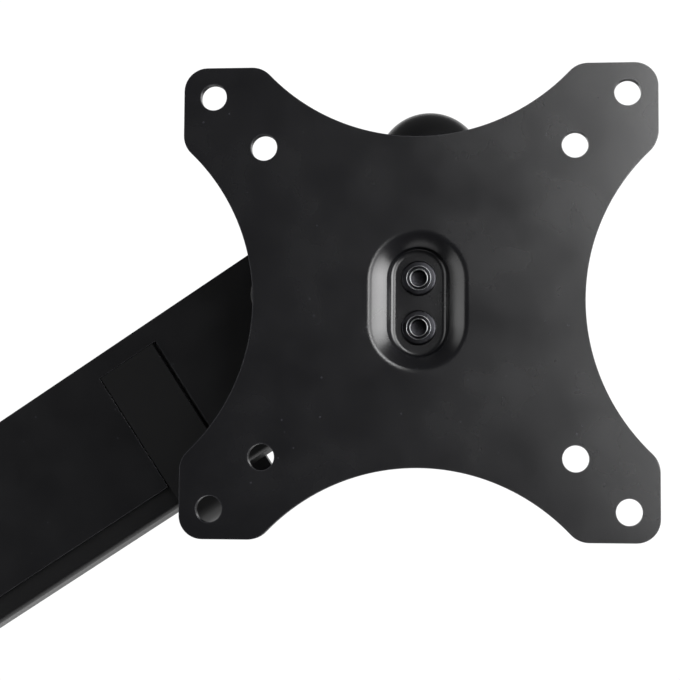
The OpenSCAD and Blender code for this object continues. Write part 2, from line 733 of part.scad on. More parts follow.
module plate_hub() color("#2a2a2c") at_tilt() difference() {
    union() {
        along_y(17, floor_back, hub_t);
        along_y(swivel_r, floor_back + hub_t - eps, front_wall + sheet + 5 - floor_back - hub_t);
    }
    for (side = [-1, 1]) translate([0, 0, side * rivet_z]) {
        along_y(rivet_r, floor_back - 1, 10);
        along_y(rivet_sink_r, floor_back + hub_t - rivet_sink, rivet_sink + 0.1);
    }
}

module hub_washer() color("#d8d6cf") at_tilt() translate([0, floor_back + hub_t, 0]) rotate([-90, 0, 0])
    ring(15, 10.6, washer_t);

module plate_rivets() color("#2a2a2c") at_tilt() for (side = [-1, 1])
    translate([0, plate_front + recess_depth, side * rivet_z]) rotate([-90, 0, 0]) rotate_extrude()
        polygon([[2.05, -0.2], [2.7, -0.9], [3.6, -0.9], [4.3, -0.3], [4.3, 0], [rivet_r - 0.1, 0],
            [rivet_r - 0.1, plate_t + hub_t - rivet_sink],
            [rivet_sink_r - 0.1, plate_t + hub_t - rivet_sink],
            [rivet_sink_r - 0.1, plate_t + hub_t - 0.1],
            [0, plate_t + hub_t - 0.1], [0, 3], [2.05, 3]]);

corner_r = 5.7;
lug_r = 6.1;
half_side = plate_side / 2;

// outline of one quarter, from the top hollow to the right hollow
lug_rise = waist + side_r - half_side + lug_r;
lug_x = sqrt((side_r + lug_r) * (side_r + lug_r) - lug_rise * lug_rise);
lug_angle = atan2(lug_rise, lug_x);

function quarter() = concat(
    arc_points([0, waist + side_r], side_r, 270, 360 - lug_angle, 14),
    arc_points([lug_x, half_side - lug_r], lug_r, 180 - lug_angle, 90, 5),
    arc_points([half_side - corner_r, half_side - corner_r], corner_r, 90, 0, 6),
    arc_points([half_side - lug_r, lug_x], lug_r, 0, lug_angle - 90, 5),
    arc_points([waist + side_r, 0], side_r, 90 + lug_angle, 180, 14));

function turned(points, n) = [for (p = points) let (c = cos(-90 * n), s = sin(-90 * n))
    [c * p[0] - s * p[1], s * p[0] + c * p[1]]];

plate_outline = concat(quarter(), turned(quarter(), 1), turned(quarter(), 2), turned(quarter(), 3));

// half section of the pressed recess: distance from its middle line, then depth behind the front face
rim = 13;
floor_r = 7.1;
foot_bend = 1.2;      // bend at the recess's floor
lip_bend = 4.4;       // bend at its lip, on the front
lip_at = 12;
lip_inner = 1.9;      // the same bend on the back
recess_section = concat(
    [[0, recess_depth], [floor_r - foot_bend, recess_depth]],
    arc_points([floor_r - foot_bend, recess_depth - foot_bend], foot_bend, 90, 20, 4),
    arc_points([lip_at, lip_bend], lip_bend, 200, 270, 6), [[rim, 0], [rim, plate_t]],
    arc_points([lip_at, lip_bend], lip_inner, 270, 200, 4),
    [[floor_r + 2.1, recess_depth + plate_t], [0, recess_depth + plate_t]]);

module recess_tub() {
    for (side = [-1, 1]) translate([0, 0, side * rivet_z])
        rotate([-90, 0, 0]) rotate([0, 0, side > 0 ? 180 : 0]) rotate_extrude(angle = 180)
            polygon(recess_section);
    for (side = [0, 1]) mirror([side, 0, 0]) translate([0, 0, -rivet_z])
        linear_extrude(2 * rivet_z) polygon(recess_section);
}

module vesa_plate() color("#1b1b1d") at_tilt() translate([0, plate_front, 0]) difference() {
    union() {
        rotate([90, 0, 0]) mirror([0, 0, 1]) linear_extrude(plate_t) difference() {
            polygon(plate_outline);
            for (side = [-1, 1]) translate([0, side * rivet_z]) circle(rim - 0.5);
            square([2 * rim - 1, 2 * rivet_z], center = true);
        }
        recess_tub();
    }
    for (pitch = [75, 100], x = [-1, 1], z = [-1, 1]) translate([x * pitch / 2, 0, z * pitch / 2])
        along_y(hole_d / 2, -1, plate_t + 2);
    for (side = [-1, 1]) translate([0, 0, side * rivet_z]) along_y(rivet_r, 0, 20);
}

// ---------- nodes ----------

foot_pad();
foot_plate();
post();
post_bolt();
clamp_upright();
clamp_bolts();
clamp_nut();
clamp_screw();
clamp_handle();
clamp_plate();
clamp_liner();
post_retainer();
lower_arm_beam();
lower_arm_cover();
lower_arm_clips();
post_bushes();
elbow_bushes();
post_cap();
elbow_bottom_cap();
hub_set_screws();
rear_knuckle();
elbow_stem();
elbow_washer();
elbow_cap();
elbow_retainer();
rear_pivot_pins();
upper_arm_shell();
upper_arm_cover();
front_cable_clip();
rear_cable_clip();
shell_bushes();
pivot_caps();
tension_bracket();
tension_screw();
tension_carriage();
lower_link();
gas_spring_rod();
gas_spring_eye();
gas_spring_cylinder();
gas_spring_gland();
gas_spring_saddle();
front_knuckle();
front_pivot_pins();
swivel_bushes();
head_yoke();
swivel_bolt();
swivel_washers();
swivel_nut();
swivel_cap();
tilt_bolt();
tilt_nut();
tilt_washers();
tilt_spacer();
tilt_bracket();
rotation_spring_washer();
rotation_nut();
plate_hub();
hub_washer();
plate_rivets();
vesa_plate();
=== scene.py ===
"""Finish and details of a gas-spring monitor arm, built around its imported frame."""

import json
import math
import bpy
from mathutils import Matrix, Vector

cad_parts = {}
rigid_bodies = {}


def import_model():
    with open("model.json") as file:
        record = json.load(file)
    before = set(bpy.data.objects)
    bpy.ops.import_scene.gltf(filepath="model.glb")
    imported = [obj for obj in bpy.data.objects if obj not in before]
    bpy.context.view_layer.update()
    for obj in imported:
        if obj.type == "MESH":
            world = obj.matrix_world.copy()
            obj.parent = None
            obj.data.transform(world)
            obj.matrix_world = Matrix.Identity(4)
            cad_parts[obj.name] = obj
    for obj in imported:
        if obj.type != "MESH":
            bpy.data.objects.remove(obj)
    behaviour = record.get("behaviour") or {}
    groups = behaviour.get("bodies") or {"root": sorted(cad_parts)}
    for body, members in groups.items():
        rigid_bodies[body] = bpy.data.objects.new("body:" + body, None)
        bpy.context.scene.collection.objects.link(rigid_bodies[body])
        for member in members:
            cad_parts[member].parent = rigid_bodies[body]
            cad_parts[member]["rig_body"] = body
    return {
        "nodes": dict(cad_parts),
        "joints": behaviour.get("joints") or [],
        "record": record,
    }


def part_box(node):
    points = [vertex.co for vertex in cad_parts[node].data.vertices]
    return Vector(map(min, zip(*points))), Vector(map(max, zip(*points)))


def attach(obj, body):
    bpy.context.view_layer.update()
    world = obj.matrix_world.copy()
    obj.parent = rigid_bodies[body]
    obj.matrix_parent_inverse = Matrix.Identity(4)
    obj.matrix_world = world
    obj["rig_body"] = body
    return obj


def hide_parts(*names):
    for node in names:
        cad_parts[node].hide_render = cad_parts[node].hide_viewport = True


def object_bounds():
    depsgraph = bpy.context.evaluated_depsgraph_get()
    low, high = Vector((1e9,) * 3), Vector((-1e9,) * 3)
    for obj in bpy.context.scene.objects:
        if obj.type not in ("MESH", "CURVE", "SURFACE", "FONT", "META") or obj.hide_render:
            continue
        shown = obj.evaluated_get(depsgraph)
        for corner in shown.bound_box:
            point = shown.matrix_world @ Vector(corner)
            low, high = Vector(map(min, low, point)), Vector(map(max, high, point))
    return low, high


bl_info = {
    "name": "Gas-spring monitor arm",
    "version": (1, 0, 0),
    "blender": (4, 5, 0),
    "location": "3D View > Sidebar > Monitor Arm",
    "description": "Builds the finish and details of a desk monitor arm on its packed frame",
    "category": "Object",
}

import bmesh
import bpy
from bpy.props import FloatProperty, FloatVectorProperty, PointerProperty
from mathutils import Matrix, Vector

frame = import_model()
CAD_BOX = [list(corner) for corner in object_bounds()]
JOINTS = {joint["name"]: joint for joint in frame["joints"]}
MOUNTS = {mount["name"]: mount for mount in frame["record"]["mounts"]}
MM = 0.001
TURN = 2 * math.pi


# ---------- places ----------

def axes_at(origin, x, y):
    """A matrix that puts millimetre shapes at origin, with its first two axes along x and y."""
    x, y = Vector(x).normalized(), Vector(y).normalized()
    turn = Matrix((x, y, x.cross(y))).transposed().to_4x4()
    return Matrix.Translation(Vector(origin)) @ turn @ Matrix.Scale(MM, 4)


PLATE_CENTRE = Vector(MOUNTS["vesa_100"]["pos_m"])
PLATE_FRONT = Vector(MOUNTS["vesa_100"]["axis"])
ACROSS = -Vector(JOINTS["arm_lift"]["axis"])
# the plate: x to its right, y up its face, z out of its front
PLATE = axes_at(PLATE_CENTRE, (1, 0, 0), PLATE_FRONT.cross(Vector((1, 0, 0))))
# the head: x to the right, y to the back, z up
HEAD = axes_at(JOINTS["head_swivel"]["pos_m"], (1, 0, 0), (0, 1, 0))
# the lifting link: x along it, y across it, z up its depth
LINK = axes_at(JOINTS["arm_lift"]["pos_m"], JOINTS["tension_travel"]["axis"], ACROSS)
# the post, the clamp and the lower arm: the part's own axes
POST = axes_at((0, 0, 0), (1, 0, 0), (0, 1, 0))


# ---------- sizes and colours ----------

def srgb(code):
    """A hex sRGB colour as linear RGBA."""
    parts = [int(code[i:i + 2], 16) / 255 for i in (1, 3, 5)]
    return [c / 12.92 if c <= 0.04045 else ((c + 0.055) / 1.055) ** 2.4 for c in parts] + [1.0]


def colour(name, description, code):
    """A colour setting with its default."""
    return FloatVectorProperty(
        name=name, description=description, subtype="COLOR", size=4, min=0, max=1, default=srgb(code))


class FinishColours(bpy.types.PropertyGroup):
    coat: colour("Powder coat", "Satin black coat on the steel and cast parts", "#0b0b0d")
    coat_cloud: colour("Coat mottling", "The coat where it lies a little thicker", "#101012")
    nylon: colour("Nylon", "Moulded black covers, clips and caps", "#0a0a0b")
    acetal: colour("Acetal", "Bushes and washers", "#d8d4c6")
    zinc: colour("Zinc plate", "Plated screws, pins and brackets", "#b4b8bc")
    oxide: colour("Black oxide", "Blackened screws, hub and rivets", "#2e2e31")


def length(name, description, default):
    """A length setting in millimetres with its default."""
    return FloatProperty(name=name, description=description + ", mm", default=default)


class PlateSizes(bpy.types.PropertyGroup):
    side: length("Side", "Side of the square plate", 114.5)
    thickness: length("Sheet", "Thickness of the sheet steel", 2.5)
    hollow: length("Hollow radius", "Radius of the four hollow sides", 50.2)
    waist: length("Waist", "Centre to the bottom of a hollow side", 39.9)
    corner: length("Corner", "Radius of the four corners", 5.7)
    lug: length("Shoulder", "Radius between a flat side and a hollow", 6.1)
    hole: length("Hole", "Diameter of the monitor screw holes", 6.4)
    depth: length("Recess", "Depth of the pressed recess", 5.0)
    edge: length("Edge", "Rounding of the punched edges", 0.45)
    rivets: length("Rivet height", "Each rivet's distance from the centre", 6.0)
    bore: length("Rivet bore", "Radius of the two rivets' holes", 2.8)


# ---------- materials ----------

def add(tree, kind, inputs=None, **settings):
    """Adds a node with its settings, and fills or links its inputs."""
    made = tree.nodes.new(kind)
    for key, value in settings.items():
        setattr(made, key, value)
    for key, value in (inputs or {}).items():
        if isinstance(value, bpy.types.NodeSocket):
            tree.links.new(value, made.inputs[key])
        else:
            made.inputs[key].default_value = value
    return made


def start(name):
    """A new material with an empty tree and its object coordinates."""
    made = bpy.data.materials.new(name)
    made.use_nodes = True
    tree = made.node_tree
    tree.nodes.clear()
    return made, tree, add(tree, "ShaderNodeTexCoord").outputs["Object"]


def surface(made, tree, **inputs):
    """Ends a material with its shader."""
    inputs = {key.replace("_", " "): value for key, value in inputs.items()}
    shader = add(tree, "ShaderNodeBsdfPrincipled", inputs)
    add(tree, "ShaderNodeOutputMaterial", {"Surface": shader.outputs["BSDF"]})
    return made


def edge_wear_and_highlight(tree, radius_mm):
    """White along edges, where rubbed wear and a painted highlight go: where a normal rounded over the radius
    leaves the true one.
    """
    soft = add(tree, "ShaderNodeBevel", {"Radius": radius_mm * MM}, samples=4).outputs["Normal"]
    true = add(tree, "ShaderNodeNewGeometry").outputs["Normal"]
    dot = add(tree, "ShaderNodeVectorMath", {0: soft, 1: true}, operation="DOT_PRODUCT").outputs["Value"]
    return add(tree, "ShaderNodeMapRange", {
        "Value": dot, "From Min": 0.97, "From Max": 0.8, "To Min": 0.0, "To Max": 1.0}).outputs["Result"]


def blend(tree, amount, one, other):
    """A colour between two."""
    return add(tree, "ShaderNodeMix", {"Factor": amount, 6: one, 7: other}, data_type="RGBA").outputs[2]


def spread(tree, value, low, high):
    """A noise's middle range stretched between two values."""
    return add(tree, "ShaderNodeMapRange", {
        "Value": value, "From Min": 0.3, "From Max": 0.7, "To Min": low, "To Max": high}).outputs["Result"]


def noise(tree, place, size_mm, detail):
    """Cloudy noise with blotches of about a size."""
    return add(tree, "ShaderNodeTexNoise", {
        "Vector": place, "Scale": 1 / (size_mm * MM), "Detail": detail}).outputs["Fac"]


def bump(tree, height, strength, depth_mm, **more):
    """A surface normal that follows a height."""
    return add(tree, "ShaderNodeBump", {
        "Height": height, "Strength": strength, "Distance": depth_mm * MM, **more}).outputs["Normal"]


def powder_coat(name, colours, rough, grain_mm, depth_mm):
    """Baked powder coat: cloudy, with a fine orange peel, a few dust nibs and a painted highlight that
    lightens every edge.
    """
    made, tree, place = start(name)
    cloud = noise(tree, place, 14, 4.0)
    peel = noise(tree, place, grain_mm, 2.0)
    wave = noise(tree, place, 4, 1.0)
    nib = add(tree, "ShaderNodeTexVoronoi", {"Vector": place, "Scale": 1 / (5 * MM)}).outputs["Distance"]
    nib = add(tree, "ShaderNodeMapRange", {
        "Value": nib, "From Min": 0.035, "From Max": 0.06, "To Min": 1.0, "To Max": 0.0}).outputs["Result"]
    tone = blend(tree, cloud, colours.coat, colours.coat_cloud)
    # painted highlight: every edge lightened towards grey, standing in for light caught on the rounded edges
    tone = blend(tree, edge_wear_and_highlight(tree, 0.5), tone, srgb("#303033"))
    tone = blend(tree, nib, tone, srgb("#26262a"))
    skin = bump(tree, peel, 0.5, depth_mm)
    skin = bump(tree, wave, 0.4, depth_mm, Normal=skin)
    return surface(
        made, tree, Base_Color=tone, Roughness=spread(tree, cloud, rough - 0.03, rough + 0.03), IOR=1.5,
        Normal=skin)


def moulded(name, dark, light, rough, grain_mm, depth_mm, ior=1.5):
    """Moulded plastic: an even colour, a spark-eroded grain, and edges rubbed a little shinier."""
    made, tree, place = start(name)
    cloud = noise(tree, place, 9, 3.0)
    grain = add(tree, "ShaderNodeTexVoronoi", {
        "Vector": place, "Scale": 1 / (grain_mm * MM)}, feature="SMOOTH_F1").outputs["Distance"]
    gloss = add(tree, "ShaderNodeMapRange", {
        "Value": edge_wear_and_highlight(tree, 0.4), "To Min": rough, "To Max": rough - 0.1}).outputs["Result"]
    return surface(
        made, tree, Base_Color=blend(tree, cloud, dark, light), Roughness=gloss, IOR=ior,
        Normal=bump(tree, grain, 0.4, depth_mm))


def metal(name, dark, light, rough, line_mm, depth_mm):
    """Turned or plated metal: fine tool marks, a little uneven in tone and shine."""
    made, tree, place = start(name)
    cloud = noise(tree, place, 5, 4.0)
    lines = noise(tree, place, line_mm, 2.0)
    return surface(
        made, tree, Base_Color=blend(tree, cloud, dark, light),
        Roughness=spread(tree, cloud, rough - 0.05, rough + 0.07), Metallic=1.0,
        Normal=bump(tree, lines, 0.3, depth_mm))


def studio_board(name):
    """Backlit white studio board: plain and almost even."""
    made, tree, place = start(name)
    cloud = noise(tree, place, 500, 2.0)
    return surface(
        made, tree, Base_Color=blend(tree, cloud, srgb("#f2f2f2"), srgb("#f8f8f8")), Roughness=0.9,
        Emission_Color=(1, 1, 1, 1), Emission_Strength=0.38)


FINISH = {}


class MONITORARM_OT_finishes(bpy.types.Operator):
    """Mixes the arm's finishes"""
    bl_idname = "monitor_arm.finishes"
    bl_label = "Finishes"

    def execute(self, context):
        c = context.scene.arm_colours
        FINISH.update({
            # satin powder coat on pressed steel: soft sheen, fine peel, a few dust nibs
            "steel": powder_coat("powder_coated_steel", c, 0.26, 0.5, 0.012),
            # the same coat over die casting: a little flatter
            "cast": powder_coat("powder_coated_casting", c, 0.31, 0.6, 0.015),
            # spark-eroded black nylon: matt with a fine grain
            "nylon": moulded("moulded_black_nylon", c.nylon, srgb("#0f0f10"), 0.34, 0.4, 0.008),
            # polished black nylon: smooth and shiny
            "gloss_nylon": moulded("polished_black_nylon", c.nylon, srgb("#0c0c0d"), 0.3, 0.8, 0.002),
            # natural acetal: waxy off-white
            "acetal": moulded("natural_acetal", c.acetal, srgb("#e2dfd3"), 0.38, 0.5, 0.004, 1.48),
            # nitrile rubber sheet: dead matt
            "rubber": moulded("nitrile_rubber", srgb("#161616"), srgb("#1d1d1d"), 0.82, 0.6, 0.03, 1.52),
            # zinc plate: cool grey with a soft shine
            "zinc": metal("zinc_plated_steel", c.zinc, srgb("#c6c9cc"), 0.3, 0.12, 0.004),
            # black oxide: nearly black steel that still shines
            "oxide": metal("black_oxide_steel", c.oxide, srgb("#37373a"), 0.28, 0.15, 0.004),
            # bare steel where the black has rubbed off
            "bare": metal("bare_steel", srgb("#9c9da0"), srgb("#b4b5b8"), 0.3, 0.3, 0.0005),
            # hard chrome: mirror bright
            "chrome": metal("hard_chrome", srgb("#c9ccd0"), srgb("#dfe1e4"), 0.08, 0.08, 0.0005),
            # painted tube: smooth gloss black
            "gloss": moulded("gloss_black_paint", srgb("#0c0c0d"), srgb("#101011"), 0.2, 2.0, 0.003),
        })
        return {"FINISHED"}


# ---------- mesh helpers ----------

WELD = 1e-4  # points of a new shape closer than this join, mm
CAD_WELD = 0.002  # the same for a CAD mesh, mm
CAD_FLAT = 0.6  # CAD triangles that meet at less than this are one face, degrees
SMOOTH = 38  # faces that meet at less than this shade as one, degrees

def trace(bm, start, moves):
    """A closed wire in the xy plane; a move is a point to draw to, or (centre, degrees, steps) of an arc."""
    tip = first = bm.verts.new((*start, 0))
    wire = [first]
    for move in moves:
        if len(move) == 2:
            tip = bmesh.ops.extrude_vert_indiv(bm, verts=[tip])["verts"][0]
            tip.co = (*move, 0)
            wire.append(tip)
        else:
            centre, degrees, steps = move
            before = set(bm.verts)
            made = bmesh.ops.spin(
                bm, geom=[tip], cent=(*centre, 0), axis=(0, 0, 1), angle=math.radians(degrees), steps=steps,
                use_duplicate=False)
            tip = [v for v in made["geom_last"] if isinstance(v, bmesh.types.BMVert)][0]
            wire += [v for v in bm.verts if v not in before]
    bmesh.ops.remove_doubles(bm, verts=wire, dist=WELD)
    wire = [v for v in wire if v.is_valid]
    return list({e for v in wire for e in v.link_edges})


def ring(bm, radius, segments, place):
    """A circle of edges level with the xy plane."""
    made = bmesh.ops.create_circle(bm, radius=radius, segments=segments, matrix=Matrix.Translation(place))
    return list({e for v in made["verts"] for e in v.link_edges})


def obround(bm, radius, half, height, steps=24):
    """A wire of two half circles joined by straight sides, at a height."""
    wire = trace(bm, (radius, -half), [
        (radius, half), ((0, half), 180, steps), (-radius, -half), ((0, -half), 180, steps)])
    bmesh.ops.translate(bm, verts=list({v for e in wire for v in e.verts}), vec=(0, 0, height))
    return wire


def turned(bm, profile, steps, place=None):
    """A solid of revolution about z from (radius, height) points that start and end on the axis."""
    verts = [bm.verts.new((r, 0, z)) for r, z in profile]
    edges = [bm.edges.new(pair) for pair in zip(verts, verts[1:])]
    before = set(bm.verts) - set(verts)
    bmesh.ops.spin(
        bm, geom=verts + edges, cent=(0, 0, 0), axis=(0, 0, 1), angle=TURN, steps=steps, use_merge=True,
        use_duplicate=False)
    made = [v for v in bm.verts if v not in before]
    bmesh.ops.remove_doubles(bm, verts=made, dist=WELD)
    made = [v for v in made if v.is_valid]
    if place is not None:
        bmesh.ops.transform(bm, matrix=place, verts=made)


def rounded(profile, radius, steps):
    """A profile of (radius, height) points with every corner between its ends rounded."""
    out = [profile[0]]
    for before, here, after in zip(profile, profile[1:], profile[2:]):
        a, b, c = Vector(before), Vector(here), Vector(after)
        cut = min(radius, (a - b).length * 0.45, (c - b).length * 0.45)
        start, end = b + (a - b).normalized() * cut, b + (c - b).normalized() * cut
        for i in range(steps + 1):
            t = i / steps
            out.append(tuple(start * (1 - t) ** 2 + b * 2 * t * (1 - t) + end * t ** 2))
    return out + [profile[-1]]


def threaded(bm, crest, root, pitch, low, high, steps=24):
    """A screw thread about z: a saw-tooth wire spun once while it climbs one pitch."""
    before = set(bm.verts)
    turns = int((high - low) / pitch) - 1
    # one tooth: up a flank, along the crest, down the other flank, along the root
    tooth = ((crest, 0.38), (crest, 0.5), (root, 0.88), (root, 1.0))
    points = [(root, low)]
    for i in range(turns):
        z = low + i * pitch
        points += [(r, z + pitch * share) for r, share in tooth]
    verts = [bm.verts.new((r, 0, z)) for r, z in points]
    edges = [bm.edges.new(pair) for pair in zip(verts, verts[1:])]
    bmesh.ops.spin(
        bm, geom=verts + edges, cent=(0, 0, 0), axis=(0, 0, 1), dvec=(0, 0, pitch / steps), angle=TURN,
        steps=steps, use_duplicate=False)
    made = [v for v in bm.verts if v not in before]
    bmesh.ops.remove_doubles(bm, verts=made, dist=WELD)
    made = [v for v in made if v.is_valid]
    rim = [e for e in {e for v in made for e in v.link_edges} if e.is_boundary]
    bmesh.ops.holes_fill(bm, edges=rim)


def bevel(bm, edges, width, segments):
    """Rounds edges over a width."""
    bmesh.ops.bevel(
        bm, geom=edges, offset=width, offset_type="OFFSET", affect="EDGES", segments=segments, profile=0.5,
        material=-1, clamp_overlap=True, loop_slide=True)


def sharp_edges(bm, degrees=32):
    """The edges where two faces meet at more than an angle."""
    limit = math.radians(degrees)
    return [e for e in bm.edges if len(e.link_faces) == 2 and e.calc_face_angle(0) > limit]


def piece(bm, name, body, finishes, nodes, place):
    """Puts a mesh in its place on a body, in its finishes, standing for its CAD nodes."""
    bmesh.ops.transform(bm, matrix=place, verts=bm.verts)
    mesh = bpy.data.meshes.new(name)
    bm.to_mesh(mesh)
    bm.free()
    for key in finishes:
        mesh.materials.append(FINISH[key])
    mesh.shade_smooth()
    mesh.set_sharp_from_angle(angle=math.radians(SMOOTH))
    obj = bpy.data.objects.new(name, mesh)
    bpy.context.scene.collection.objects.link(obj)
    even = obj.modifiers.new("even_shading", "WEIGHTED_NORMAL")
    even.keep_sharp = True
    even.weight = 80
    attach(obj, body)
    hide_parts(*nodes)


def body_of(node):
    """The body that a CAD node rides on."""
    return frame["nodes"][node]["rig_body"]


def merged(node, place):
    """A CAD node's mesh with its loose triangles joined into flat faces, in a local frame's millimetres."""
    bm = bmesh.new()
    bm.from_mesh(frame["nodes"][node].data)
    bmesh.ops.transform(bm, matrix=place.inverted(), verts=bm.verts)
    bmesh.ops.remove_doubles(bm, verts=bm.verts, dist=CAD_WELD)
    bmesh.ops.dissolve_degenerate(bm, edges=bm.edges, dist=CAD_WELD)
    bmesh.ops.dissolve_limit(bm, angle_limit=math.radians(CAD_FLAT), verts=bm.verts, edges=bm.edges)
    return bm


def softened(node, finish, width, segments, place=POST, wide=None, wide_mm=0.0):
    """A CAD part with its machined edges rounded; wide picks edges by their ends for a larger radius."""
    bm = merged(node, place)
    if wide:
        bevel(bm, [e for e in sharp_edges(bm) if wide(*(v.co for v in e.verts))], wide_mm, 4)
    bevel(bm, sharp_edges(bm), width, segments)
    piece(bm, node + "_finished", body_of(node), [finish], [node], place)


def soften_all(rows, segments, place=POST):
    """Softens CAD parts from rows of (node, finish, edge width)."""
    for node, finish, width in rows:
        softened(node, finish, width, segments, place)


# ---------- the plate ----------

def plate_outline(bm, sizes):
    """The wire of the plate's outline: four hollow sides between four square corners."""
    half, lug, corner = sizes.side / 2, sizes.lug, sizes.corner
    rise = sizes.waist + sizes.hollow - half + lug
    reach = math.sqrt((sizes.hollow + lug) ** 2 - rise ** 2)
    lean = math.degrees(math.atan2(rise, reach))
    moves = []

    def spot(x, y, quarter):
        return ((x, y), (y, -x), (-x, -y), (-y, x))[quarter]

    for n in range(4):
        moves += [
            (spot(0, sizes.waist + sizes.hollow, n), 90 - lean, 24),
            (spot(reach, half - lug, n), lean - 90, 8),
            spot(half - corner, half, n),
            (spot(half - corner, half - corner, n), -90, 10),
            spot(half, reach, n),
            (spot(half - lug, reach, n), lean - 90, 8),
            (spot(sizes.waist + sizes.hollow, 0, n), 90 - lean, 24),
        ]
    return trace(bm, (0, sizes.waist), moves)


def recess_rings(depth):
    """(radius, depth) of the pressed recess from its lip to its floor."""
    rings, lean = [(12.4, 0.0)], 0.0
    # degrees turned, length in mm and steps: soft lip, long slope, steepening, short wall, round foot
    arcs = ((26, 1.5, 8), (12, 3.9, 6), (40, 0.5, 4), (0, 0.5, 1), (-78, 2.5, 9))
    for degrees, run, steps in arcs:
        turn = math.radians(degrees) / steps
        for _ in range(steps):
            r, z = rings[-1]
            way = lean + turn / 2
            rings.append((r - run / steps * math.cos(way), z + run / steps * math.sin(way)))
            lean += turn
    scale = depth / rings[-1][1]
    return [(r, z * scale) for r, z in rings]


def sheet_face(bm, sizes, height, rings):
    """One face of the plate, its recess from (radius, half length, depth) rings; returns its open wires."""
    wires = [plate_outline(bm, sizes)]
    for pitch in (75, 100):
        for x in (-1, 1):
            for y in (-1, 1):
                wires.append(ring(bm, sizes.hole / 2, 48, (x * pitch / 2, y * pitch / 2, 0)))
    flat = [e for wire in wires for e in wire]
    bmesh.ops.translate(bm, verts=list({v for e in flat for v in e.verts}), vec=(0, 0, height))
    steps = [obround(bm, r, half, -z) for r, half, z in rings]
    bmesh.ops.triangle_fill(bm, use_beauty=True, edges=flat + steps[0])
    for upper, lower in zip(steps, steps[1:]):
        bmesh.ops.bridge_loops(bm, edges=upper + lower)
    bores = [ring(bm, sizes.bore, 32, (0, side * sizes.rivets, -rings[-1][2])) for side in (-1, 1)]
    bmesh.ops.triangle_fill(bm, use_beauty=True, edges=steps[-1] + bores[0] + bores[1])
    return wires + bores


class MONITORARM_OT_plate(bpy.types.Operator):
    """Presses the monitor plate from sheet steel: hollow sides, eight screw holes and the middle recess"""
    bl_idname = "monitor_arm.plate"
    bl_label = "Monitor plate"

    def execute(self, context):
        sizes = context.scene.plate_sizes
        sheet, deep = sizes.thickness, sizes.depth
        # the recess's straight sides are this much shorter at its lip than the rivets' distance, and lengthen
        shorter, lengthen = 0.9, 1.4
        # (radius, depth) of the sheet's back round the recess
        swell = (
            (12.6, 0), (11.9, 0.12), (11.2, 0.45), (10.7, 1.0), (10.4, 1.6), (9.6, deep - 0.3), (9.3, deep))
        bm = bmesh.new()
        front = sheet_face(bm, sizes, 0, [
            (r, sizes.rivets - shorter + lengthen * z / deep, z) for r, z in recess_rings(deep)])
        back = sheet_face(bm, sizes, -sheet, [(r, sizes.rivets, sheet + z) for r, z in swell])
        for one, other in zip(front, back):
            bmesh.ops.bridge_loops(bm, edges=one + other)
        bmesh.ops.recalc_face_normals(bm, faces=bm.faces)
        bevel(bm, sharp_edges(bm, 60), sizes.edge, 3)
        piece(bm, "monitor_plate", "plate", ["steel"], ["vesa_plate"], PLATE)
        return {"FINISHED"}


class MONITORARM_OT_rivets(bpy.types.Operator):
    """Turns the two hollow rivets on the recess floor, with their worn bright rims"""
    bl_idname = "monitor_arm.rivets"
    bl_label = "Plate rivets"

    def execute(self, context):
        sizes = context.scene.plate_sizes
        tail = -(sizes.thickness + 3.4)
        # (radius, height) from the bore's bottom over both rims and the head, then down the shank to its tail
        profile = [
            (0, -3), (2.0, -3), (2.0, 0.74), (2.06, 0.84), (2.16, 0.84), (2.26, 0.7), (2.5, 0.45),
            (2.7, 0.45), (2.86, 0.84), (2.92, 0.9), (2.98, 0.88), (3.85, 0.84), (4.15, 0.66), (4.28, 0.35),
            (4.3, 0.0), (2.7, 0.0), (2.7, -sizes.thickness - 2.0), (4.1, -sizes.thickness - 2.1),
            (4.1, tail), (0, tail)]
        # (inner radius, outer radius, lowest height) of each rim that is rubbed bright
        rubbed = ((2.0, 2.22, 0.74), (2.87, 2.97, 0.84))
        bm = bmesh.new()
        for side in (-1, 1):
            place = Matrix.Translation((0, side * sizes.rivets, -sizes.depth))
            turned(bm, rounded(profile, 0.06, 3), 48, place)
        bmesh.ops.recalc_face_normals(bm, faces=bm.faces)
        for face in bm.faces:
            middle = face.calc_center_median()
            side = 1 if middle.y > 0 else -1
            radius = math.hypot(middle.x, middle.y - side * sizes.rivets)
            high = middle.z + sizes.depth
            bright = any(inner < radius < outer and high > lowest for inner, outer, lowest in rubbed)
            face.material_index = 1 if bright else 0
        piece(
            bm, "plate_rivets_finished", "plate", ["oxide", "bare"],
            ["plate_rivets"], PLATE)
        return {"FINISHED"}


class MONITORARM_OT_swivel_cap(bpy.types.Operator):
    """Moulds the domed cap over the head's swivel bolt"""
    bl_idname = "monitor_arm.swivel_cap"
    bl_label = "Swivel cap"

    def execute(self, context):
        low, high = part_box("swivel_cap")
        wall, outer_steps, inner_steps = 1.6, 24, 16
        base = HEAD.inverted() @ low
        top = (HEAD.inverted() @ high).z
        half, rise = (high.x - low.x) / MM / 2, top - base.z
        radius = (half ** 2 + rise ** 2) / (2 * rise)
        centre = top - radius
        low_angle = math.asin((base.z - centre) / radius)
        bm = bmesh.new()
        profile = [(0, top)]
        for i in range(1, outer_steps + 1):
            a = math.pi / 2 - (math.pi / 2 - low_angle) * i / outer_steps
            profile.append((radius * math.cos(a), centre + radius * math.sin(a)))
        inner = radius - wall
        inner_angle = math.asin((base.z - centre) / inner)
        for i in range(inner_steps + 1):
            a = inner_angle + (math.pi / 2 - inner_angle) * i / inner_steps
            profile.append((max(inner * math.cos(a), 0), centre + inner * math.sin(a)))
        turned(bm, profile, 96)
        bmesh.ops.recalc_face_normals(bm, faces=bm.faces)
        piece(bm, "swivel_cap_finished", "head", ["gloss_nylon"], ["swivel_cap"], HEAD)
        return {"FINISHED"}


# ---------- the lifting link ----------

